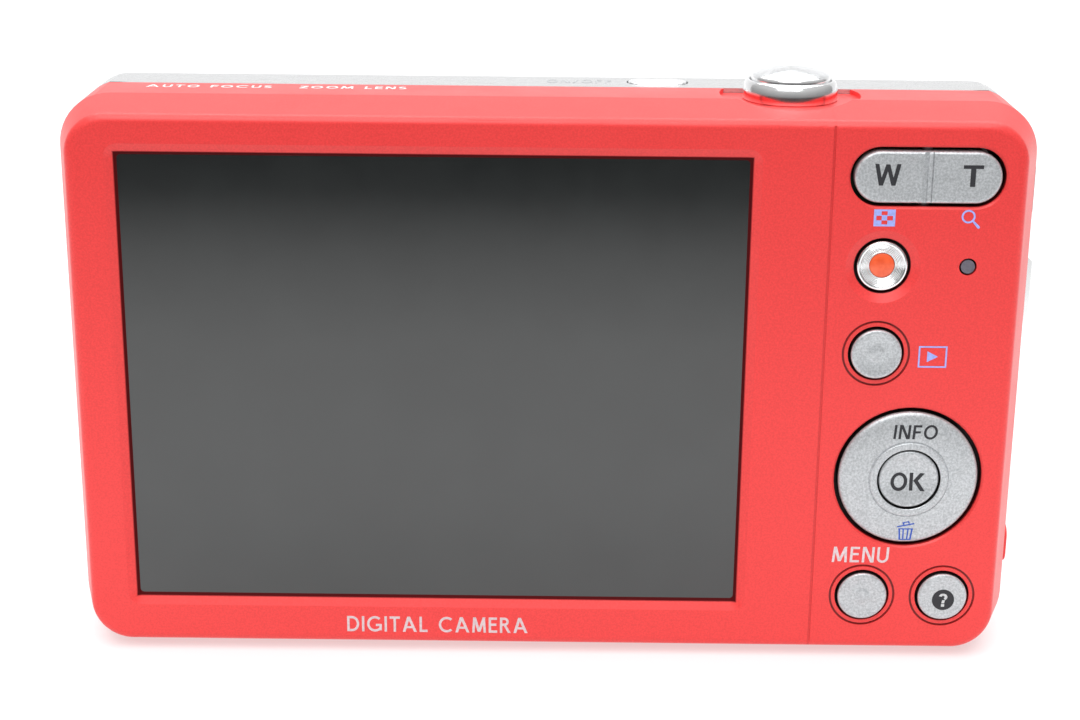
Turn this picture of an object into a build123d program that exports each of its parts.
from build123d import *
import math
import os

# Compact digital camera, assembled from its separate pieces.
# Millimetres. +X is to the right seen from the screen side, +Y points out of
# the lens, +Z is up. The origin is the middle of the flat base.

# ---------------------------------------------------------------- dimensions
W, H, D = 96.0, 57.1, 19.3          # body width, height, depth
Y_REAR, Y_FRONT = -D / 2, D / 2     # rear and front faces
Z_MID = H / 2
R_BODY = 5.2                        # corner radius of the body outline
REAR_W, REAR_H, R_REAR = 92.3, 54.7, 4.0   # smaller outline of the rear face
Y_CREST = Y_REAR + 5.5              # where the sloping rear edge reaches full size
Z_BAND = H - 0.25                   # level of the flat top band
Y_SEAM = 3.0                        # seam between rear and front shells
SEAM_GAP = 0.1
WALL = 1.3

# screen: 3.0 inch, 4:3
SCR_X, SCR_Z = -11.0, 29.15
SCR_W, SCR_H = 60.9, 45.8
SCR_DEPTH = 0.6

# rear controls (x, z)
ROCK_X, ROCK_Z, ROCK_L, ROCK_H = 36.52, 50.66, 14.2, 5.1
REC_X, REC_Z = 32.66, 41.75
LED_X, LED_Z = 40.9, 41.85
PLAY_X, PLAY_Z = 32.5, 32.95
PAD_X, PAD_Z, PAD_R = 36.48, 19.88, 7.0
OK_R = 3.0
MENU_X, HELP_X, LOW_Z = 32.56, 40.74, 7.05
BTN_R = 2.5
HOLE_R = 2.78
Y_BTN = Y_REAR - 0.45               # button faces stand proud of the rear face
Y_REC = Y_REAR + 0.35               # the record button sits below it
Y_TILT = -7.275                     # level of the arrow pad's tilt axes
Y_INNER = Y_REAR + WALL             # inner face of the rear wall

# top controls (x, y)
SHUT_X, SHUT_Y = 24.0, 0.05
PWR_X, PWR_Y = 11.1, 6.05

# lens
LX, LZ = -13.0, 28.5
R_TRIM = 20.0
R_HOUSE = 19.6
R_CAM = 17.2
R_B1, R_B2 = 15.7, 14.6
GEAR_N, PIN_N, MODULE = 72, 12, 0.5
PIN_ANGLE = -45.0
PIN_DIST = MODULE * (GEAR_N + PIN_N) / 2 + 0.15
PX = LX + PIN_DIST * math.cos(math.radians(PIN_ANGLE))
PZ = LZ + PIN_DIST * math.sin(math.radians(PIN_ANGLE))

# battery, card and their door
BAT_X0, BAT_W, BAT_H, BAT_T = 8.2, 31.5, 39.5, 6.0
BAT_Z0, BAT_Y0 = 3.6, -2.6
DOOR_X0, DOOR_X1, DOOR_Y0 = 6.8, 40.4, -3.25
HINGE_Y, HINGE_Z, HINGE_R, PIN_R = 7.0, 0.8, 0.8, 0.35
TRI_X, TRI_R, TRI_L = -4.0, 3.175, 6.0

os.makedirs("parts", exist_ok=True)


def at_y(y):
    """Sketch plane facing the rear at depth y; local x is X, local y is Z."""
    return Plane.XZ.offset(-y)


def arc_mid(r, edge, top):
    """Middle point of a circular arc whose centre lies on the axis."""
    rise = top - edge
    big = (r * r + rise * rise) / (2 * abs(rise))
    a = math.asin(r / big) / 2
    return big * math.sin(a), top - math.copysign(big * (1 - math.cos(a)), rise)


def save(builder, name):
    builder.part.label = name
    export_step(builder.part, "parts/" + name + ".step")


# --------------------------------------------------------------- rear cover
SCREWS_BOTTOM = [(-36.0, 0.6), (-20.0, 0.6)]
SCREWS_LEFT = [12.0, 45.0]
SCREWS_RIGHT = [22.0]

with BuildPart() as rear_cover:
    # outer skin: sloping edge around the rear face, then straight to the seam
    with BuildSketch(at_y(Y_REAR)):
        with Locations((-0.2, Z_MID)):
            RectangleRounded(REAR_W, REAR_H, R_REAR)
    with BuildSketch(at_y(Y_CREST)):
        with Locations((0, Z_MID)):
            RectangleRounded(W, H, R_BODY)
    loft()
    rear_edges = rear_cover.faces().sort_by(Axis.Y)[0].edges()
    fillet(rear_edges, radius=0.9)
    with BuildSketch(at_y(Y_CREST)):
        with Locations((0, Z_MID)):
            RectangleRounded(W, H, R_BODY)
    extrude(amount=-(Y_SEAM - SEAM_GAP / 2 - Y_CREST))
    # flat band along the top, a small step below the crest
    with BuildSketch(Plane.XY.offset(Z_BAND)):
        with Locations((0, (Y_CREST + 0.4 + Y_SEAM) / 2)):
            Rectangle(W + 2, Y_SEAM - Y_CREST - 0.4)
    extrude(amount=2, mode=Mode.SUBTRACT)
    # scoop around the shutter collar
    with BuildSketch(Plane.XY.offset(Z_BAND - 0.45)):
        with Locations((SHUT_X, SHUT_Y)):
            Circle(7.0)
    extrude(amount=2, mode=Mode.SUBTRACT)
    # hollow inside, in two depths
    with BuildSketch(at_y(Y_INNER)):
        with Locations((0, Z_MID)):
            RectangleRounded(90.0, 52.0, 5.7)
    extrude(amount=-(Y_SEAM - Y_INNER), mode=Mode.SUBTRACT)
    with BuildSketch(at_y(-4.15)):
        with Locations((0, 28.4)):
            RectangleRounded(93.4, 54.2, 6.7)
    extrude(amount=-(Y_SEAM + 4.15), mode=Mode.SUBTRACT)
    # screen recess: bevelled mouth, window opening, seat for the glass
    with BuildSketch(at_y(Y_REAR)):
        with Locations((SCR_X, SCR_Z)):
            RectangleRounded(SCR_W + 2.3, SCR_H + 2.3, 1.3)
    with BuildSketch(at_y(Y_REAR + SCR_DEPTH)):
        with Locations((SCR_X, SCR_Z)):
            RectangleRounded(SCR_W, SCR_H, 0.4)
    loft(mode=Mode.SUBTRACT)
    with BuildSketch(at_y(Y_REAR + SCR_DEPTH)):
        with Locations((SCR_X, SCR_Z)):
            RectangleRounded(62.7, 47.6, 1.2)
    extrude(amount=-3, mode=Mode.SUBTRACT)
    # holes for the rear controls
    with BuildSketch(at_y(Y_REAR - 1)):
        with Locations((ROCK_X, ROCK_Z)):
            SlotOverall(ROCK_L + 0.8, ROCK_H + 0.74)
        with Locations((REC_X, REC_Z), (PLAY_X, PLAY_Z), (MENU_X, LOW_Z), (HELP_X, LOW_Z)):
            Circle(HOLE_R)
        with Locations((PAD_X, PAD_Z)):
            Circle(PAD_R + 0.42)
        with Locations((LED_X, LED_Z)):
            Circle(0.86)
    extrude(amount=-4, mode=Mode.SUBTRACT)
    # softly dished surrounds of rocker, pad and record button
    with BuildSketch(at_y(Y_REAR)):
        with Locations((PAD_X, PAD_Z)):
            Circle(PAD_R + 0.6)
    with BuildSketch(at_y(Y_REAR + 0.18)):
        with Locations((PAD_X, PAD_Z)):
            Circle(PAD_R + 0.42)
    loft(mode=Mode.SUBTRACT)
    with BuildSketch(at_y(Y_REAR)):
        with Locations((REC_X, REC_Z)):
            Circle(3.65)
    with BuildSketch(at_y(Y_REAR + 0.5)):
        with Locations((REC_X, REC_Z)):
            Circle(HOLE_R)
    loft(mode=Mode.SUBTRACT)
    with BuildSketch(at_y(Y_REAR)):
        with Locations((ROCK_X, ROCK_Z)):
            SlotOverall(ROCK_L + 1.2, ROCK_H + 1.14)
    with BuildSketch(at_y(Y_REAR + 0.2)):
        with Locations((ROCK_X, ROCK_Z)):
            SlotOverall(ROCK_L + 0.8, ROCK_H + 0.74)
    loft(mode=Mode.SUBTRACT)
    # engraved rings around the small round buttons, and the upright line
    with BuildSketch(at_y(Y_REAR)):
        with Locations((PLAY_X, PLAY_Z), (MENU_X, LOW_Z), (HELP_X, LOW_Z)):
            Circle(3.36)
        with Locations((PLAY_X, PLAY_Z), (MENU_X, LOW_Z), (HELP_X, LOW_Z)):
            Circle(3.14, mode=Mode.SUBTRACT)
    extrude(amount=-0.22, mode=Mode.SUBTRACT)
    with BuildSketch(at_y(Y_REAR - 0.5)):
        with Locations((27.37, Z_MID)):
            Rectangle(0.24, H + 2)
    extrude(amount=-0.6, mode=Mode.SUBTRACT)
    # ears that carry the zoom rocker's trunnions
    with BuildSketch(at_y(Y_INNER)):
        with Locations((ROCK_X, 46.75), (ROCK_X, 54.3)):
            Rectangle(2.6, 0.9)
    extrude(amount=-1.25)
    with BuildSketch(Plane.XY.offset(46.0)):
        with Locations((ROCK_X, -7.85)):
            Circle(0.55)
    extrude(amount=8.4, mode=Mode.SUBTRACT)
    # shutter collar hole
    with BuildSketch(Plane.XY.offset(53)):
        with Locations((SHUT_X, SHUT_Y)):
            Circle(3.9)
    extrude(amount=5, mode=Mode.SUBTRACT)
    # door opening and tripod socket hole in the bottom wall
    with BuildSketch(Plane.XY.offset(-0.5)):
        with Locations(((DOOR_X0 + DOOR_X1) / 2, 0)):
            Rectangle(DOOR_X1 - DOOR_X0 + 0.3, 2 * 3.4)
        with Locations(((DOOR_X0 + DOOR_X1) / 2, 3)):
            Rectangle(DOOR_X1 - DOOR_X0 + 0.3, 2)
    extrude(amount=2.6, mode=Mode.SUBTRACT)
    with BuildSketch(Plane.XY.offset(-0.5)):
        with Locations((TRI_X, 0)):
            Circle(4.65)
    extrude(amount=3.8, mode=Mode.SUBTRACT)
    # side: opening for the connector cover and its trunnion holes
    with BuildSketch(Plane.YZ.offset(45.5)):
        with Locations((-0.9, 47.5)):
            Rectangle(5.0, 8.2)
        with Locations((-1.2, 37.5)):
            RectangleRounded(4.4, 7.4, 1.0)
    extrude(amount=4, mode=Mode.SUBTRACT)
    with BuildSketch(at_y(-3.8)):
        with Locations((47.3, 44.3)):
            Circle(0.36)
    extrude(amount=-5.8, mode=Mode.SUBTRACT)
    # small bump low on the right side
    with BuildSketch(Plane.YZ.offset(47.4)):
        with Locations((-0.6, 9.75)):
            RectangleRounded(4.2, 4.1, 1.2)
    extrude(amount=1.2)
    # countersunk screw holes: bottom and sides
    with BuildSketch(Plane.XY.offset(-0.5)):
        with Locations(*SCREWS_BOTTOM):
            Circle(0.85)
    extrude(amount=3, mode=Mode.SUBTRACT)
    with BuildSketch(Plane.XY):
        with Locations(*SCREWS_BOTTOM):
            Circle(1.4)
    extrude(amount=0.7, mode=Mode.SUBTRACT)
    with BuildSketch(Plane.YZ.offset(-W / 2)):
        with Locations(*[(0.6, z) for z in SCREWS_LEFT]):
            Circle(0.85)
    extrude(amount=3, mode=Mode.SUBTRACT)
    with BuildSketch(Plane.YZ.offset(-W / 2)):
        with Locations(*[(0.6, z) for z in SCREWS_LEFT]):
            Circle(1.4)
    extrude(amount=0.7, mode=Mode.SUBTRACT)
    with BuildSketch(Plane.YZ.offset(W / 2)):
        with Locations(*[(0.6, z) for z in SCREWS_RIGHT]):
            Circle(0.85)
    extrude(amount=-3, mode=Mode.SUBTRACT)
    with BuildSketch(Plane.YZ.offset(W / 2)):
        with Locations(*[(0.6, z) for z in SCREWS_RIGHT]):
            Circle(1.4)
    extrude(amount=-0.7, mode=Mode.SUBTRACT)
save(rear_cover, "rear_cover")

# --------------------------------------------------------------- front frame
Y_F0 = Y_SEAM + SEAM_GAP / 2
with BuildPart() as front_frame:
    with BuildSketch(at_y(Y_F0)):
        with Locations((0, Z_MID)):
            RectangleRounded(W, H, R_BODY)
    extrude(amount=-(Y_FRONT - Y_F0))
    fillet(front_frame.faces().sort_by(Axis.Y)[-1].edges(), radius=1.8)
    with BuildSketch(Plane.XY.offset(Z_BAND)):
        with Locations((0, 6)):
            Rectangle(W + 2, 12)
    extrude(amount=2, mode=Mode.SUBTRACT)
    # hollow inside
    with BuildSketch(at_y(Y_F0 - 0.5)):
        with Locations((0, 28.4)):
            RectangleRounded(93.4, 54.2, 6.7)
    extrude(amount=-(8.15 - Y_F0 + 0.5), mode=Mode.SUBTRACT)
    # lip that locates inside the rear cover
    with BuildSketch(at_y(Y_F0)):
        with Locations((0, 28.4)):
            RectangleRounded(93.9, 54.7, 6.9)
            RectangleRounded(91.2, 52.0, 5.6, mode=Mode.SUBTRACT)
    extrude(amount=-1.45)
    with BuildSketch(at_y(1.8)):
        with Locations((0, 28.4)):
            RectangleRounded(93.2, 54.0, 6.6)
            RectangleRounded(91.2, 52.0, 5.6, mode=Mode.SUBTRACT)
    extrude(amount=-(Y_F0 - 1.8))
    # screw tabs behind the lip
    with BuildSketch(Plane.XY.offset(1.45)):
        with Locations(*[(x, 1.2) for x, y in SCREWS_BOTTOM]):
            Rectangle(4.4, 3.8)
    extrude(amount=2.0)
    with BuildSketch(Plane.YZ.offset(-46.55)):
        with Locations(*[(1.2, z) for z in SCREWS_LEFT]):
            Rectangle(3.8, 4.4)
    extrude(amount=2.0)
    with BuildSketch(Plane.YZ.offset(46.55)):
        with Locations(*[(1.2, z) for z in SCREWS_RIGHT]):
            Rectangle(3.8, 4.4)
    extrude(amount=-2.0)
    # pilot holes for the screws
    with BuildSketch(Plane.XY.offset(1.0)):
        with Locations(*SCREWS_BOTTOM):
            Circle(0.75)
    extrude(amount=3, mode=Mode.SUBTRACT)
    with BuildSketch(Plane.YZ.offset(-47)):
        with Locations(*[(0.6, z) for z in SCREWS_LEFT]):
            Circle(0.75)
    extrude(amount=3, mode=Mode.SUBTRACT)
    with BuildSketch(Plane.YZ.offset(47)):
        with Locations(*[(0.6, z) for z in SCREWS_RIGHT]):
            Circle(0.75)
    extrude(amount=-3, mode=Mode.SUBTRACT)
    # seat for the coloured front panel
    with BuildSketch(at_y(Y_FRONT - 0.8)):
        with Locations((0, Z_MID - 0.15)):
            RectangleRounded(90.8, 51.5, 5.4)
    extrude(amount=-2, mode=Mode.SUBTRACT)
    # lens, flash, lamp and microphone openings
    with BuildSketch(at_y(7)):
        with Locations((LX, LZ)):
            Circle(16.3)
        with Locations((21.0, 47.8)):
            RectangleRounded(12.0, 5.8, 0.8)
        with Locations((9.5, 47.8)):
            Circle(1.6)
        with Locations((-36.0, 49.0), (-34.6, 49.0), (-33.2, 49.0)):
            Circle(0.35)
    extrude(amount=-4, mode=Mode.SUBTRACT)
    # shutter collar and power button openings in the top
    with BuildSketch(Plane.XY.offset(53)):
        with Locations((SHUT_X, SHUT_Y)):
            Circle(3.9)
        with Locations((PWR_X, PWR_Y)):
            SlotOverall(6.3, 3.3)
    extrude(amount=5, mode=Mode.SUBTRACT)
    with BuildSketch(Plane.XY.offset(Z_BAND - 0.45)):
        with Locations((SHUT_X, SHUT_Y)):
            Circle(4.8)
    extrude(amount=3, mode=Mode.SUBTRACT)
    # door opening and tripod socket hole
    with BuildSketch(Plane.XY.offset(-0.5)):
        with Locations(((DOOR_X0 + DOOR_X1) / 2, (0 + 7.95) / 2)):
            Rectangle(DOOR_X1 - DOOR_X0 + 0.3, 7.95)
        with Locations((TRI_X, 0)):
            Circle(4.65)
    extrude(amount=3.4, mode=Mode.SUBTRACT)
    # bores for the ends of the door pin
    with BuildSketch(Plane.YZ.offset(5.0)):
        with Locations((HINGE_Y, HINGE_Z)):
            Circle(0.38)
    extrude(amount=37.1, mode=Mode.SUBTRACT)
save(front_frame, "front_frame")

# --------------------------------------------------------------- front panel
with BuildPart() as front_panel:
    with BuildSketch(at_y(Y_FRONT - 0.8)):
        with Locations((0, Z_MID - 0.15)):
            RectangleRounded(90.6, 51.3, 5.3)
        with Locations((LX, LZ)):
            Circle(R_TRIM + 0.1, mode=Mode.SUBTRACT)
        with Locations((21.0, 47.8)):
            RectangleRounded(12.0, 5.8, 0.8, mode=Mode.SUBTRACT)
        with Locations((9.5, 47.8)):
            Circle(1.6, mode=Mode.SUBTRACT)
        with Locations((-36.0, 49.0), (-34.6, 49.0), (-33.2, 49.0)):
            Circle(0.35, mode=Mode.SUBTRACT)
    extrude(amount=-0.8)
    fillet(front_panel.faces().sort_by(Axis.Y)[-1].outer_wire().edges(), radius=0.3)
save(front_panel, "front_panel")

# ------------------------------------------------------------ screen assembly
with BuildPart() as screen_window:
    with BuildSketch(at_y(Y_REAR + SCR_DEPTH)):
        with Locations((SCR_X, SCR_Z)):
            RectangleRounded(62.5, 47.4, 1.1)
    extrude(amount=-0.9)
save(screen_window, "screen_window")

with BuildPart() as lcd_panel:
    with BuildSketch(at_y(-8.1)):
        with Locations((SCR_X, SCR_Z)):
            Rectangle(63.4, 46.8)
    extrude(amount=-1.9)
save(lcd_panel, "lcd_panel")

with BuildPart() as lcd_frame:
    with BuildSketch(at_y(-8.0)):
        with Locations((SCR_X, SCR_Z)):
            RectangleRounded(64.4, 47.8, 0.6)
    extrude(amount=-2.25)
    with BuildSketch(at_y(-8.0)):
        with Locations((SCR_X, SCR_Z)):
            Rectangle(63.6, 47.0)
    extrude(amount=-1.85, mode=Mode.SUBTRACT)
    # lightening windows through the tray's floor
    with BuildSketch(at_y(-8.0)):
        with Locations((SCR_X - 19, SCR_Z), (SCR_X, SCR_Z), (SCR_X + 19, SCR_Z)):
            RectangleRounded(15, 34, 2)
    extrude(amount=-3, mode=Mode.SUBTRACT)
save(lcd_frame, "lcd_frame")

# ------------------------------------------------------- chassis and boards
with BuildPart() as chassis_plate:
    with BuildSketch(at_y(-5.65)):
        with Locations((0, 28.6)):
            RectangleRounded(88.4, 50.8, 5.0)
        with Locations((-36, 10), (-36, 46), (40, 10), (40, 48)):
            Circle(1.2, mode=Mode.SUBTRACT)
        with Locations((-38, 28)):
            SlotOverall(9, 3, rotation=90, mode=Mode.SUBTRACT)
    extrude(amount=-0.5)
save(chassis_plate, "chassis_plate")

with BuildPart() as main_board:
    with BuildSketch(at_y(-4.9)):
        with Locations((25.7, 27.5)):
            RectangleRounded(35.4, 46.0, 2.0)
        with Locations((10.0, 6.5), (41.0, 48.0)):
            Circle(0.9, mode=Mode.SUBTRACT)
    extrude(amount=-0.8)
save(main_board, "main_board")

with BuildPart() as board_chips:
    with BuildSketch(at_y(-4.1)):
        with Locations((18, 38)):
            Rectangle(11, 11)
        with Locations((33, 36)):
            Rectangle(9, 8)
        with Locations((18, 22)):
            Rectangle(6, 6)
        with Locations((32, 22)):
            Rectangle(7, 5)
        with Locations((14, 12), (22, 12), (30, 12)):
            Rectangle(2.5, 1.6)
    extrude(amount=-0.8)
save(board_chips, "board_chips")

with BuildPart() as key_board:
    with BuildSketch(at_y(-6.4)):
        with Locations((35.0, 28.6)):
            RectangleRounded(18.0, 50.0, 4.5)
    extrude(amount=-0.6)
    # saddles for the arrow pad's gimbal
    with BuildSketch(at_y(-7.36)):
        with Locations((PAD_X - 7.25, PAD_Z), (PAD_X + 7.25, PAD_Z)):
            Rectangle(0.5, 1.0)
    extrude(amount=-1.0)
    with BuildSketch(Plane.YZ.offset(PAD_X - 7.6)):
        with Locations((Y_TILT, PAD_Z)):
            Circle(0.15)
    extrude(amount=15.2, mode=Mode.SUBTRACT)
save(key_board, "key_board")

DOMES = [(REC_X, REC_Z), (PLAY_X, PLAY_Z), (MENU_X, LOW_Z), (HELP_X, LOW_Z),
         (PAD_X, PAD_Z), (PAD_X - 5, PAD_Z), (PAD_X + 5, PAD_Z),
         (PAD_X, PAD_Z - 5), (PAD_X, PAD_Z + 5),
         (ROCK_X - 4.5, ROCK_Z), (ROCK_X + 4.5, ROCK_Z)]
with BuildPart() as dome_switches:
    with BuildSketch(at_y(-6.4)):
        with Locations(*DOMES):
            Circle(1.7)
    extrude(amount=0.4, taper=35)
save(dome_switches, "dome_switches")

# --------------------------------------------------------------- rear buttons
with BuildPart() as zoom_rocker:
    with BuildSketch(at_y(Y_REAR - 0.1)):
        with Locations((ROCK_X, ROCK_Z)):
            SlotOverall(ROCK_L, ROCK_H)
    extrude(amount=-1.3)
    fillet(zoom_rocker.faces().sort_by(Axis.Y)[0].edges(), radius=0.35)
    # raised rib across the middle between two shallow grooves
    with BuildSketch(at_y(Y_REAR - 0.1)):
        with Locations((ROCK_X - 0.3, ROCK_Z)):
            Rectangle(0.4, ROCK_H + 1)
        with Locations((ROCK_X + 0.34, ROCK_Z)):
            Rectangle(0.14, ROCK_H + 1)
    extrude(amount=-0.15, mode=Mode.SUBTRACT)
    # web and trunnion it rocks on
    with BuildSketch(at_y(Y_REAR + 1.1)):
        with Locations((ROCK_X, ROCK_Z)):
            Rectangle(2.4, 4.4)
    extrude(amount=-1.2)
    with BuildSketch(Plane.XY.offset(46.5)):
        with Locations((ROCK_X, -7.85)):
            Circle(0.5)
    extrude(amount=7.8)
    # feet that press the switches
    with BuildSketch(at_y(Y_REAR + 1.1)):
        with Locations((ROCK_X - 4.5, ROCK_Z), (ROCK_X + 4.5, ROCK_Z)):
            Circle(0.8)
    extrude(amount=-1.2)
save(zoom_rocker, "zoom_rocker")

with BuildPart() as record_button:
    # metal ring with a conical dish and a seat for the coloured dot
    with BuildSketch(at_y(Y_REC)):
        with Locations((REC_X, REC_Z)):
            Circle(BTN_R)
    extrude(amount=-1.5)
    fillet(record_button.faces().sort_by(Axis.Y)[0].edges(), radius=0.2)
    with BuildSketch(at_y(Y_REC)):
        with Locations((REC_X, REC_Z)):
            Circle(2.1)
    with BuildSketch(at_y(Y_REC + 0.25)):
        with Locations((REC_X, REC_Z)):
            Circle(1.25)
    loft(mode=Mode.SUBTRACT)
    with BuildSketch(at_y(Y_REC)):
        with Locations((REC_X, REC_Z)):
            Circle(1.25)
    extrude(amount=-0.9, mode=Mode.SUBTRACT)
    with BuildSketch(at_y(Y_INNER + 0.1)):
        with Locations((REC_X, REC_Z)):
            Circle(BTN_R + 0.6)
    extrude(amount=-0.4)
    with BuildSketch(at_y(Y_INNER + 0.5)):
        with Locations((REC_X, REC_Z)):
            Circle(0.8)
    extrude(amount=-0.6)
    # solid core between cap and flange
    with BuildSketch(at_y(Y_REC + 0.9)):
        with Locations((REC_X, REC_Z)):
            Circle(BTN_R)
    extrude(amount=-0.8)
save(record_button, "record_button")

with BuildPart() as record_button_dot:
    with BuildSketch(at_y(Y_REC + 0.9)):
        with Locations((REC_X, REC_Z)):
            Circle(1.24)
    extrude(amount=0.7)
    fillet(record_button_dot.faces().sort_by(Axis.Y)[0].edges(), radius=0.12)
save(record_button_dot, "record_button_dot")

with BuildPart() as playback_button:
    with BuildSketch(at_y(Y_BTN)):
        with Locations((PLAY_X, PLAY_Z)):
            Circle(BTN_R)
    extrude(amount=-1.95)
    fillet(playback_button.faces().sort_by(Axis.Y)[0].edges(), radius=0.3)
    with BuildSketch(at_y(Y_INNER + 0.1)):
        with Locations((PLAY_X, PLAY_Z)):
            Circle(BTN_R + 0.6)
    extrude(amount=-0.4)
    with BuildSketch(at_y(Y_INNER + 0.5)):
        with Locations((PLAY_X, PLAY_Z)):
            Circle(0.8)
    extrude(amount=-0.6)
save(playback_button, "playback_button")

with BuildPart() as menu_button:
    with BuildSketch(at_y(Y_BTN)):
        with Locations((MENU_X, LOW_Z)):
            Circle(BTN_R)
    extrude(amount=-1.95)
    fillet(menu_button.faces().sort_by(Axis.Y)[0].edges(), radius=0.3)
    with BuildSketch(at_y(Y_INNER + 0.1)):
        with Locations((MENU_X, LOW_Z)):
            Circle(BTN_R + 0.6)
    extrude(amount=-0.4)
    with BuildSketch(at_y(Y_INNER + 0.5)):
        with Locations((MENU_X, LOW_Z)):
            Circle(0.8)
    extrude(amount=-0.6)
save(menu_button, "menu_button")

with BuildPart() as help_button:
    with BuildSketch(at_y(Y_BTN)):
        with Locations((HELP_X, LOW_Z)):
            Circle(BTN_R)
    extrude(amount=-1.95)
    fillet(help_button.faces().sort_by(Axis.Y)[0].edges(), radius=0.3)
    with BuildSketch(at_y(Y_INNER + 0.1)):
        with Locations((HELP_X, LOW_Z)):
            Circle(BTN_R + 0.45)
    extrude(amount=-0.4)
    with BuildSketch(at_y(Y_INNER + 0.5)):
        with Locations((HELP_X, LOW_Z)):
            Circle(0.8)
    extrude(amount=-0.6)
save(help_button, "help_button")

with BuildPart() as arrow_pad:
    with BuildSketch(at_y(Y_REAR - 0.45)):
        with Locations((PAD_X, PAD_Z)):
            Circle(PAD_R)
    extrude(amount=-2.45)
    fillet(arrow_pad.faces().sort_by(Axis.Y)[0].edges(), radius=0.35)
    # raised lip around the middle button
    with BuildSketch(at_y(Y_REAR - 0.45)):
        with Locations((PAD_X, PAD_Z)):
            Circle(3.9)
    with BuildSketch(at_y(Y_REAR - 0.6)):
        with Locations((PAD_X, PAD_Z)):
            Circle(3.5)
    loft()
    with BuildSketch(at_y(-7.95)):
        with Locations((PAD_X, PAD_Z)):
            Circle(7.7)
    extrude(amount=-0.3)
    with BuildSketch(at_y(Y_REAR - 1)):
        with Locations((PAD_X, PAD_Z)):
            Circle(OK_R + 0.18)
    extrude(amount=-4, mode=Mode.SUBTRACT)
    # lugs that hang on the gimbal's upright pins
    with BuildSketch(at_y(-7.7)):
        with Locations((PAD_X, PAD_Z - 5.3), (PAD_X, PAD_Z + 5.3)):
            Rectangle(0.8, 0.4)
    extrude(amount=-0.65)
    with BuildSketch(Plane.XY.offset(PAD_Z - 5.6)):
        with Locations((PAD_X, Y_TILT)):
            Circle(0.15)
    extrude(amount=11.2, mode=Mode.SUBTRACT)
save(arrow_pad, "arrow_pad")

with BuildPart() as pad_gimbal:
    with BuildSketch(at_y(Y_TILT - 0.125)):
        with Locations((PAD_X, PAD_Z)):
            Circle(5.0)
            Circle(3.75, mode=Mode.SUBTRACT)
    extrude(amount=-0.25)
    # level pins turn in the board's saddles, upright pins carry the pad
    with BuildSketch(Plane.YZ.offset(PAD_X + 4.8)):
        with Locations((Y_TILT, PAD_Z)):
            Circle(0.125)
    extrude(amount=2.7)
    with BuildSketch(Plane.YZ.offset(PAD_X - 7.5)):
        with Locations((Y_TILT, PAD_Z)):
            Circle(0.125)
    extrude(amount=2.7)
    with BuildSketch(Plane.XY.offset(PAD_Z + 4.8)):
        with Locations((PAD_X, Y_TILT)):
            Circle(0.125)
    extrude(amount=0.7)
    with BuildSketch(Plane.XY.offset(PAD_Z - 5.5)):
        with Locations((PAD_X, Y_TILT)):
            Circle(0.125)
    extrude(amount=0.7)
save(pad_gimbal, "pad_gimbal")

with BuildPart() as ok_button:
    with BuildSketch(at_y(Y_REAR - 0.5)):
        with Locations((PAD_X, PAD_Z)):
            Circle(OK_R)
    extrude(amount=-2.6)
    fillet(ok_button.faces().sort_by(Axis.Y)[0].edges(), radius=0.3)
    with BuildSketch(at_y(-7.55)):
        with Locations((PAD_X, PAD_Z)):
            Circle(3.45)
    extrude(amount=-0.25)
save(ok_button, "ok_button")

with BuildPart() as indicator_lamp:
    with BuildSketch(at_y(Y_REAR + 0.05)):
        with Locations((LED_X, LED_Z)):
            Circle(0.68)
    extrude(amount=-2.9)
save(indicator_lamp, "indicator_lamp")

# ----------------------------------------------------------------- top controls
ZC = Z_BAND - 0.45
with BuildPart() as shutter_collar:
    with BuildSketch(Plane.XZ.offset(-SHUT_Y)):
        with BuildLine():
            Polyline((SHUT_X + 1.6, 54.8), (SHUT_X + 3.8, 54.8), (SHUT_X + 3.8, ZC),
                     (SHUT_X + 4.7, ZC), (SHUT_X + 4.7, 57.75), (SHUT_X + 4.35, 58.4),
                     (SHUT_X + 4.05, 58.4), (SHUT_X + 4.05, ZC + 0.4), (SHUT_X + 3.1, ZC + 0.4),
                     (SHUT_X + 3.1, 55.3), (SHUT_X + 1.6, 55.3), (SHUT_X + 1.6, 54.8))
        make_face()
    revolve(axis=Axis((SHUT_X, SHUT_Y, 0), (0, 0, 1)), revolution_arc=360)
save(shutter_collar, "shutter_collar")

with BuildPart() as shutter_button:
    with BuildSketch(Plane.XZ.offset(-SHUT_Y)):
        with BuildLine():
            Polyline((SHUT_X, 53.7), (SHUT_X + 1.45, 53.7), (SHUT_X + 1.45, 57.9),
                     (SHUT_X + 3.9, 57.9), (SHUT_X + 3.9, 58.85))
            mx, mz = arc_mid(3.9, 58.85, 59.55)
            ThreePointArc((SHUT_X + 3.9, 58.85), (SHUT_X + mx, mz), (SHUT_X, 59.55))
            Line((SHUT_X, 59.55), (SHUT_X, 53.7))
        make_face()
    revolve(axis=Axis((SHUT_X, SHUT_Y, 0), (0, 0, 1)), revolution_arc=360)
save(shutter_button, "shutter_button")

with BuildPart() as shutter_spring:
    with BuildLine() as spring_path:
        Helix(pitch=0.6, height=2.1, radius=2.3, center=(SHUT_X, SHUT_Y, 55.55))
    with BuildSketch(Plane(origin=spring_path.line @ 0, z_dir=spring_path.line % 0)):
        Circle(0.17)
    sweep(path=spring_path.line, is_frenet=True)
save(shutter_spring, "shutter_spring")

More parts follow.
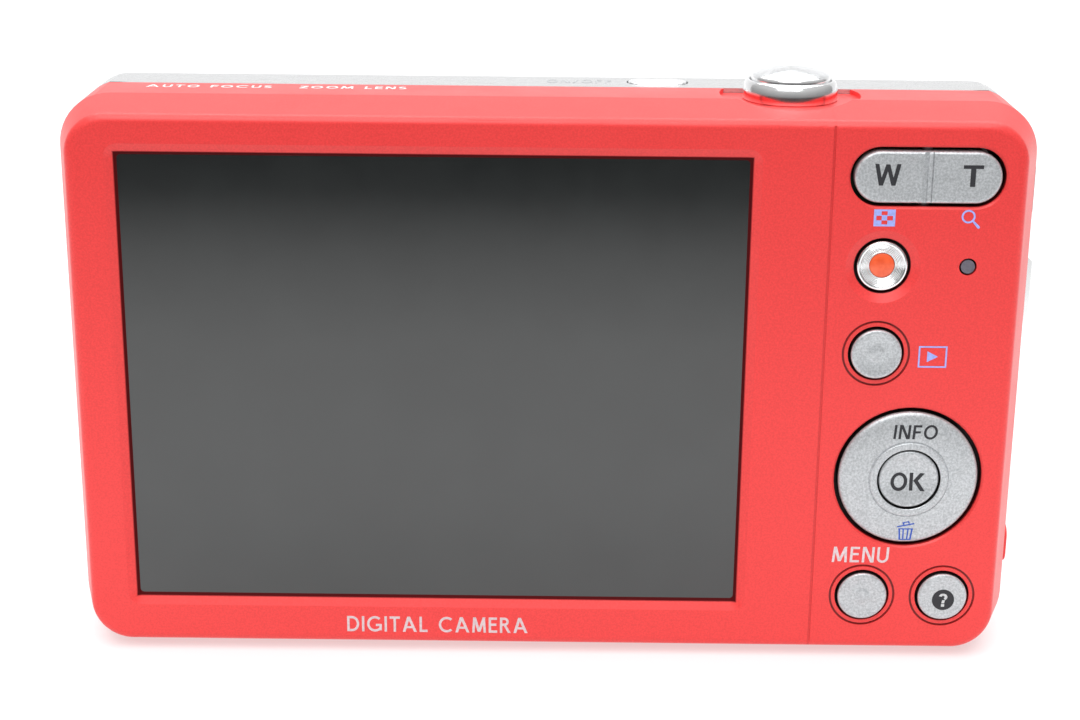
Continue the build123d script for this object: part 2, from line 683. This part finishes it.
with BuildPart() as power_button:
    with BuildSketch(Plane.XY.offset(55.3)):
        with Locations((PWR_X, PWR_Y)):
            SlotOverall(6.0, 3.0)
    extrude(amount=Z_BAND + 0.15 - 55.3)
    fillet(power_button.faces().sort_by(Axis.Z)[-1].edges(), radius=0.2)
    with BuildSketch(Plane.XY.offset(54.85)):
        with Locations((PWR_X, PWR_Y)):
            SlotOverall(7.4, 3.0)
    extrude(amount=0.5)
    with BuildSketch(Plane.XY.offset(53.25)):
        with Locations((PWR_X, 5.6)):
            Circle(0.8)
    extrude(amount=1.7)
save(power_button, "power_button")

with BuildPart() as top_switch_board:
    with BuildSketch(Plane.XY.offset(52.0)):
        with Locations((18.0, 0.9)):
            RectangleRounded(27.0, 11.0, 1.0)
    extrude(amount=0.8)
save(top_switch_board, "top_switch_board")

# ----------------------------------------------------------------- flash and lamps
with BuildPart() as flash_window:
    with BuildSketch(at_y(8.15)):
        with Locations((21.0, 47.8)):
            RectangleRounded(11.9, 5.7, 0.75)
    extrude(amount=-1.45)
    fillet(flash_window.faces().sort_by(Axis.Y)[-1].edges(), radius=0.2)
save(flash_window, "flash_window")

with BuildPart() as flash_reflector:
    with BuildSketch(at_y(4.7)):
        with Locations((21.0, 47.8)):
            Rectangle(11.6, 5.6)
    extrude(amount=-3.4)
    with BuildSketch(at_y(8.1)):
        with Locations((21.0, 47.8)):
            Rectangle(11.0, 5.0)
    with BuildSketch(at_y(5.1)):
        with Locations((21.0, 47.8)):
            Rectangle(10.4, 2.6)
    loft(mode=Mode.SUBTRACT)
save(flash_reflector, "flash_reflector")

with BuildPart() as flash_tube:
    with BuildSketch(Plane.YZ.offset(16.0)):
        with Locations((6.3, 47.8)):
            Circle(0.95)
    extrude(amount=10.0)
save(flash_tube, "flash_tube")

with BuildPart() as flash_capacitor:
    with BuildSketch(Plane.XY.offset(9.0)):
        with Locations((-39.5, 2.0)):
            Circle(3.8)
    extrude(amount=25.0)
    fillet(flash_capacitor.edges().filter_by(GeomType.CIRCLE), radius=0.4)
save(flash_capacitor, "flash_capacitor")

with BuildPart() as af_lamp_window:
    with BuildSketch(at_y(7.9)):
        with Locations((9.5, 47.8)):
            Circle(1.5)
    extrude(amount=-1.65)
save(af_lamp_window, "af_lamp_window")

with BuildPart() as speaker:
    with BuildSketch(at_y(0.0)):
        with Locations((-39.0, 44.5)):
            Circle(5.0)
    extrude(amount=-2.2)
    with BuildSketch(at_y(0.0)):
        with Locations((-39.0, 44.5)):
            Circle(4.2)
            Circle(3.0, mode=Mode.SUBTRACT)
    extrude(amount=-0.4, mode=Mode.SUBTRACT)
save(speaker, "speaker")

# ----------------------------------------------------------------- lens unit
with BuildPart() as lens_trim_ring:
    with BuildSketch(Plane.XY.offset(LZ)):
        with BuildLine():
            Polyline((LX + 16.15, Y_FRONT - 0.8), (LX + R_TRIM, Y_FRONT - 0.8),
                     (LX + R_TRIM, Y_FRONT + 0.35), (LX + R_TRIM - 0.9, Y_FRONT + 1.15),
                     (LX + 17.0, Y_FRONT + 1.15), (LX + 16.15, Y_FRONT + 0.5),
                     (LX + 16.15, Y_FRONT - 0.8))
        make_face()
    revolve(axis=Axis((LX, 0, LZ), (0, 1, 0)), revolution_arc=360)
save(lens_trim_ring, "lens_trim_ring")

with BuildPart() as lens_housing:
    with BuildSketch(at_y(-4.6)):
        with Locations((LX, LZ)):
            Circle(R_HOUSE)
    extrude(amount=-(8.1 + 4.6))
    with BuildSketch(at_y(-3.9)):
        with Locations((LX, LZ)):
            Circle(18.7)
    extrude(amount=-14, mode=Mode.SUBTRACT)
    with BuildSketch(at_y(-5)):
        with Locations((LX, LZ)):
            Rectangle(8.2, 6.8)
    extrude(amount=-3, mode=Mode.SUBTRACT)
    # room for the zoom motor and its pinion
    with BuildSketch(at_y(-3.9)):
        with Locations((PX, PZ)):
            Circle(3.85)
    extrude(amount=-14, mode=Mode.SUBTRACT)
save(lens_housing, "lens_housing")

with BuildPart() as cam_ring:
    with BuildSketch(at_y(-3.4)):
        with Locations((LX, LZ)):
            Circle(R_CAM)
            Circle(15.95, mode=Mode.SUBTRACT)
    extrude(amount=-11.2)
    # gear rim at the rear end
    with BuildSketch(at_y(-3.4)):
        with Locations((LX, LZ)):
            Circle(17.5)
        with Locations((LX, LZ)):
            with PolarLocations(17.85, GEAR_N):
                Trapezoid(0.82, 0.9, 76, rotation=-90)
        with Locations((LX, LZ)):
            Circle(15.95, mode=Mode.SUBTRACT)
    extrude(amount=-3.0)
    # three slanted cam slots
    with BuildSketch(Plane.YZ.offset(LX)):
        with Locations((3.2, LZ)):
            SlotOverall(9.0, 1.4, rotation=35)
    extrude(amount=30, mode=Mode.SUBTRACT)
save(cam_ring, "cam_ring")

with BuildPart() as lens_barrel_outer:
    with BuildSketch(at_y(-2.3)):
        with Locations((LX, LZ)):
            Circle(R_B1)
            Circle(14.8, mode=Mode.SUBTRACT)
    extrude(amount=-12.5)
    with BuildSketch(at_y(-2.3)):
        with Locations((LX, LZ)):
            Circle(15.0)
            Circle(5.2, mode=Mode.SUBTRACT)
    extrude(amount=-0.8)
    chamfer(lens_barrel_outer.faces().sort_by(Axis.Y)[-1].outer_wire().edges(), length=0.3)
save(lens_barrel_outer, "lens_barrel_outer")

with BuildPart() as lens_barrel_inner:
    with BuildSketch(at_y(-1.3)):
        with Locations((LX, LZ)):
            Circle(R_B2)
            Circle(13.7, mode=Mode.SUBTRACT)
    extrude(amount=-11.7)
    with BuildSketch(at_y(4.0)):
        with Locations((LX, LZ)):
            Circle(13.8)
            Circle(8.0, mode=Mode.SUBTRACT)
    extrude(amount=-1.4)
    chamfer(lens_barrel_inner.faces().sort_by(Axis.Y)[-1].outer_wire().edges(), length=0.3)
save(lens_barrel_inner, "lens_barrel_inner")

with BuildPart() as barrel_cap:
    # front cap of the inner barrel, with the opening that the blades close
    with BuildSketch(at_y(7.6)):
        with Locations((LX, LZ)):
            Circle(13.65)
    extrude(amount=-2.5)
    with BuildSketch(at_y(10.1)):
        with Locations((LX, LZ)):
            Circle(12.6)
    with BuildSketch(at_y(9.5)):
        with Locations((LX, LZ)):
            Circle(8.6)
    loft(mode=Mode.SUBTRACT)
    with BuildSketch(at_y(7.6)):
        with Locations((LX, LZ)):
            Circle(12.4)
    extrude(amount=-1.3, mode=Mode.SUBTRACT)
    with BuildSketch(at_y(7.6)):
        with Locations((LX, LZ)):
            RectangleRounded(11.4, 8.4, 2.4)
    extrude(amount=-4, mode=Mode.SUBTRACT)
save(barrel_cap, "barrel_cap")

with BuildPart() as barrier_blade_upper:
    with BuildSketch(at_y(8.3)):
        with Locations((LX, LZ + 2.53)):
            Rectangle(13.0, 5.0)
    extrude(amount=-0.45)
save(barrier_blade_upper, "barrier_blade_upper")

with BuildPart() as barrier_blade_lower:
    with BuildSketch(at_y(8.3)):
        with Locations((LX, LZ - 2.53)):
            Rectangle(13.0, 5.0)
    extrude(amount=-0.45)
save(barrier_blade_lower, "barrier_blade_lower")

with BuildPart() as front_lens_group:
    with BuildSketch(Plane.XY.offset(LZ)):
        with BuildLine():
            Line((LX, 3.4), (LX, 7.2))
            mx, my = arc_mid(7.98, 5.3, 7.2)
            ThreePointArc((LX, 7.2), (LX + mx, my), (LX + 7.98, 5.3))
            Line((LX + 7.98, 5.3), (LX + 7.98, 4.05))
            mx, my = arc_mid(7.98, 4.05, 3.4)
            ThreePointArc((LX + 7.98, 4.05), (LX + mx, my), (LX, 3.4))
        make_face()
    revolve(axis=Axis((LX, 0, LZ), (0, 1, 0)), revolution_arc=360)
save(front_lens_group, "front_lens_group")

with BuildPart() as rear_lens_group:
    with BuildSketch(Plane.XY.offset(LZ)):
        with BuildLine():
            Line((LX, -2.6), (LX, -0.4))
            mx, my = arc_mid(5.18, -1.45, -0.4)
            ThreePointArc((LX, -0.4), (LX + mx, my), (LX + 5.18, -1.45))
            Line((LX + 5.18, -1.45), (LX + 5.18, -2.25))
            mx, my = arc_mid(5.18, -2.25, -2.6)
            ThreePointArc((LX + 5.18, -2.25), (LX + mx, my), (LX, -2.6))
        make_face()
    revolve(axis=Axis((LX, 0, LZ), (0, 1, 0)), revolution_arc=360)
save(rear_lens_group, "rear_lens_group")

with BuildPart() as sensor_plate:
    with BuildSketch(at_y(-5.1)):
        with Locations((LX, LZ)):
            RectangleRounded(17, 14, 2)
    extrude(amount=-0.5)
save(sensor_plate, "sensor_plate")

with BuildPart() as image_sensor:
    with BuildSketch(at_y(-4.6)):
        with Locations((LX, LZ)):
            Rectangle(8.0, 6.6)
    extrude(amount=-1.1)
save(image_sensor, "image_sensor")

with BuildPart() as zoom_motor:
    with BuildSketch(at_y(0.4)):
        with Locations((PX, PZ)):
            Circle(3.4)
    extrude(amount=-7.6)
    with BuildSketch(at_y(0.4)):
        with Locations((PX, PZ)):
            Circle(0.55)
    extrude(amount=-1.5, mode=Mode.SUBTRACT)
save(zoom_motor, "zoom_motor")

with BuildPart() as motor_pinion:
    with BuildSketch(at_y(-3.2)):
        with Locations((PX, PZ)):
            Circle(2.35)
        with Locations((PX, PZ)):
            with PolarLocations(2.8, PIN_N):
                Trapezoid(0.82, 1.0, 74, rotation=-90)
    extrude(amount=-2.6)
    with BuildSketch(at_y(-0.6)):
        with Locations((PX, PZ)):
            Circle(0.5)
    extrude(amount=-2.3)
save(motor_pinion, "motor_pinion")

# ------------------------------------------------------------ battery and card
BX = BAT_X0 + BAT_W / 2
BY = BAT_Y0 + BAT_T / 2
with BuildPart() as battery:
    with BuildSketch(Plane.XY.offset(BAT_Z0)):
        with Locations((BX, BY)):
            RectangleRounded(BAT_W, BAT_T, 1.0)
    extrude(amount=BAT_H)
    fillet(battery.edges().filter_by(Plane.XY), radius=0.3)
save(battery, "battery")

with BuildPart() as battery_box:
    with BuildSketch(Plane.XY.offset(3.65)):
        with Locations((BX, BY + 0.0)):
            Rectangle(BAT_W + 1.1, BAT_T + 1.1)
            Rectangle(BAT_W + 0.1, BAT_T + 0.1, mode=Mode.SUBTRACT)
    extrude(amount=40.0)
    with BuildSketch(Plane.XY.offset(43.65)):
        with Locations((BX, BY)):
            Rectangle(BAT_W + 1.1, BAT_T + 1.1)
    extrude(amount=0.5)
    # guide plate over the battery lock
    with BuildSketch(Plane.XY.offset(3.65)):
        with Locations((5.2, 0.0)):
            Rectangle(5.2, 3.2)
    extrude(amount=0.6)
save(battery_box, "battery_box")

with BuildPart() as battery_contacts:
    with BuildSketch(Plane.XY.offset(44.15)):
        with Locations((13, BY), (17, BY), (21, BY)):
            Rectangle(1.6, 2.4)
    extrude(amount=0.3)
    with BuildSketch(Plane.XY.offset(44.15)):
        with Locations((13, BY - 1.05), (17, BY - 1.05), (21, BY - 1.05)):
            Rectangle(1.6, 0.3)
    extrude(amount=2.6)
save(battery_contacts, "battery_contacts")

with BuildPart() as battery_lock:
    with BuildSketch(at_y(-1.0)):
        with BuildLine():
            Polyline((3.0, 2.15), (8.6, 2.15), (9.6, 2.7), (9.6, 3.4), (3.0, 3.4), (3.0, 2.15))
        make_face()
    extrude(amount=-2.0)
save(battery_lock, "battery_lock")

with BuildPart() as card_slot:
    with BuildSketch(Plane.XY.offset(3.4)):
        with Locations((24.7, 5.65)):
            Rectangle(24.9, 3.1)
            Rectangle(24.3, 2.5, mode=Mode.SUBTRACT)
    extrude(amount=34.0)
    with BuildSketch(Plane.XY.offset(37.4)):
        with Locations((24.7, 5.65)):
            Rectangle(24.9, 3.1)
    extrude(amount=0.3)
save(card_slot, "card_slot")

with BuildPart() as memory_card:
    with BuildSketch(at_y(4.6)):
        with BuildLine():
            Polyline((12.7, 3.9), (36.7, 3.9), (36.7, 35.9), (16.2, 35.9), (12.7, 32.4), (12.7, 3.9))
        make_face()
    extrude(amount=-2.1)
save(memory_card, "memory_card")

# ------------------------------------------------------------- door and its pin
with BuildPart() as battery_door:
    with BuildSketch(Plane.XY):
        with Locations(((DOOR_X0 + DOOR_X1) / 2, (DOOR_Y0 + HINGE_Y) / 2)):
            Rectangle(DOOR_X1 - DOOR_X0, HINGE_Y - DOOR_Y0)
    extrude(amount=1.1)
    # the plate's right end follows the rounding of the body
    with BuildSketch(at_y(-5)):
        with Locations((0, Z_MID)):
            RectangleRounded(W, H, R_BODY)
    extrude(amount=-15, mode=Mode.INTERSECT)
    # hinge barrel along the front edge
    with BuildSketch(Plane.YZ.offset(DOOR_X0)):
        with Locations((HINGE_Y, HINGE_Z)):
            Circle(HINGE_R)
    extrude(amount=DOOR_X1 - DOOR_X0)
    with BuildSketch(Plane.YZ.offset(DOOR_X0 - 1)):
        with Locations((HINGE_Y, HINGE_Z)):
            Circle(PIN_R + 0.06)
    extrude(amount=40, mode=Mode.SUBTRACT)
    # slot for the latch knob
    with BuildSketch(Plane.XY.offset(-0.5)):
        with Locations((11.2, 0.2)):
            Rectangle(6.0, 2.6)
    extrude(amount=2, mode=Mode.SUBTRACT)
save(battery_door, "battery_door")

with BuildPart() as door_pin:
    with BuildSketch(Plane.YZ.offset(5.2)):
        with Locations((HINGE_Y, HINGE_Z)):
            Circle(PIN_R)
    extrude(amount=36.7)
save(door_pin, "door_pin")

with BuildPart() as door_latch:
    # sliding plate on the inside of the door, its tongue, and a ribbed knob
    with BuildSketch(Plane.XY.offset(1.38)):
        with Locations((12.0, 0.2)):
            Rectangle(7.2, 4.4)
        with Locations((7.8, 0.2)):
            Rectangle(1.6, 2.4)
    extrude(amount=0.55)
    with BuildSketch(Plane.XY.offset(0.1)):
        with Locations((12.0, 0.2)):
            Rectangle(4.0, 2.2)
    extrude(amount=1.5)
    with BuildSketch(Plane.XY.offset(0.1)):
        with Locations((10.9, 0.2), (12.0, 0.2), (13.1, 0.2)):
            Rectangle(0.4, 2.4)
    extrude(amount=0.2, mode=Mode.SUBTRACT)
save(door_latch, "door_latch")

# ------------------------------------------------------------ tripod socket
with BuildPart() as tripod_socket:
    with BuildSketch(Plane.XY):
        with Locations((TRI_X, 0)):
            Circle(4.6)
    extrude(amount=TRI_L + 0.5)
    with BuildSketch(Plane.XY.offset(2.5)):
        with Locations((TRI_X, 0)):
            RectangleRounded(10.4, 8.2, 1.0)
    extrude(amount=0.8)
    with BuildSketch(Plane.XY):
        with Locations((TRI_X, 0)):
            Circle(TRI_R)
    extrude(amount=TRI_L, mode=Mode.SUBTRACT)
save(tripod_socket, "tripod_socket")

# -------------------------------------------------------------- right side
with BuildPart() as connector_cover:
    with BuildSketch(at_y(-3.25)):
        with Locations((47.3, 44.3)):
            Circle(0.6)
        with BuildLine():
            Polyline((46.9, 44.3), (47.9, 44.3), (47.95, 45.2), (48.25, 45.9), (48.25, 50.4),
                     (47.95, 51.4), (46.9, 51.4), (46.9, 44.3))
        make_face()
    extrude(amount=-4.7)
    with BuildSketch(at_y(-3.65)):
        with Locations((47.3, 44.3)):
            Circle(0.3)
    extrude(amount=-5.5)
save(connector_cover, "connector_cover")

with BuildPart() as usb_socket:
    with BuildSketch(Plane.YZ.offset(40.7)):
        with Locations((-1.8, 47.8)):
            RectangleRounded(2.8, 7.2, 0.6)
    extrude(amount=5.8)
    with BuildSketch(Plane.YZ.offset(46.5)):
        with Locations((-1.8, 47.8)):
            RectangleRounded(2.2, 6.6, 0.4)
            Rectangle(0.7, 5.0, mode=Mode.SUBTRACT)
    extrude(amount=-4.6, mode=Mode.SUBTRACT)
save(usb_socket, "usb_socket")

with BuildPart() as strap_eyelet:
    with BuildSketch(Plane.YZ.offset(45.6)):
        with Locations((-1.2, 37.5)):
            RectangleRounded(5.4, 9.4, 0.8)
    extrude(amount=1.05)
    with BuildSketch(at_y(-1.9)):
        with BuildLine():
            Polyline((46.3, 34.2), (48.6, 34.2), (49.0, 34.6), (49.0, 40.4), (48.6, 40.8),
                     (46.3, 40.8), (46.3, 34.2))
        make_face()
        with Locations((47.35, 37.5)):
            RectangleRounded(1.5, 4.6, 0.5, mode=Mode.SUBTRACT)
    extrude(amount=-1.4)
save(strap_eyelet, "strap_eyelet")

# ----------------------------------------------------------------- fasteners
with BuildPart() as case_screws:
    with BuildSketch(Plane.XY.offset(0.12)):
        with Locations(*SCREWS_BOTTOM):
            Circle(1.3)
    extrude(amount=0.58)
    with BuildSketch(Plane.XY.offset(0.5)):
        with Locations(*SCREWS_BOTTOM):
            Circle(0.7)
    extrude(amount=2.9)
    with BuildSketch(Plane.XY.offset(0.12)):
        for x, y in SCREWS_BOTTOM:
            with Locations((x, y)):
                Rectangle(1.5, 0.32)
                Rectangle(0.32, 1.5)
    extrude(amount=0.3, mode=Mode.SUBTRACT)
    with BuildSketch(Plane.YZ.offset(-W / 2 + 0.12)):
        with Locations(*[(0.6, z) for z in SCREWS_LEFT]):
            Circle(1.3)
    extrude(amount=0.58)
    with BuildSketch(Plane.YZ.offset(-W / 2 + 0.5)):
        with Locations(*[(0.6, z) for z in SCREWS_LEFT]):
            Circle(0.7)
    extrude(amount=2.9)
    with BuildSketch(Plane.YZ.offset(-W / 2 + 0.12)):
        for z in SCREWS_LEFT:
            with Locations((0.6, z)):
                Rectangle(1.5, 0.32)
                Rectangle(0.32, 1.5)
    extrude(amount=0.3, mode=Mode.SUBTRACT)
    with BuildSketch(Plane.YZ.offset(W / 2 - 0.12)):
        with Locations(*[(0.6, z) for z in SCREWS_RIGHT]):
            Circle(1.3)
    extrude(amount=-0.58)
    with BuildSketch(Plane.YZ.offset(W / 2 - 0.5)):
        with Locations(*[(0.6, z) for z in SCREWS_RIGHT]):
            Circle(0.7)
    extrude(amount=-2.9)
    with BuildSketch(Plane.YZ.offset(W / 2 - 0.12)):
        for z in SCREWS_RIGHT:
            with Locations((0.6, z)):
                Rectangle(1.5, 0.32)
                Rectangle(0.32, 1.5)
    extrude(amount=-0.3, mode=Mode.SUBTRACT)
save(case_screws, "case_screws")
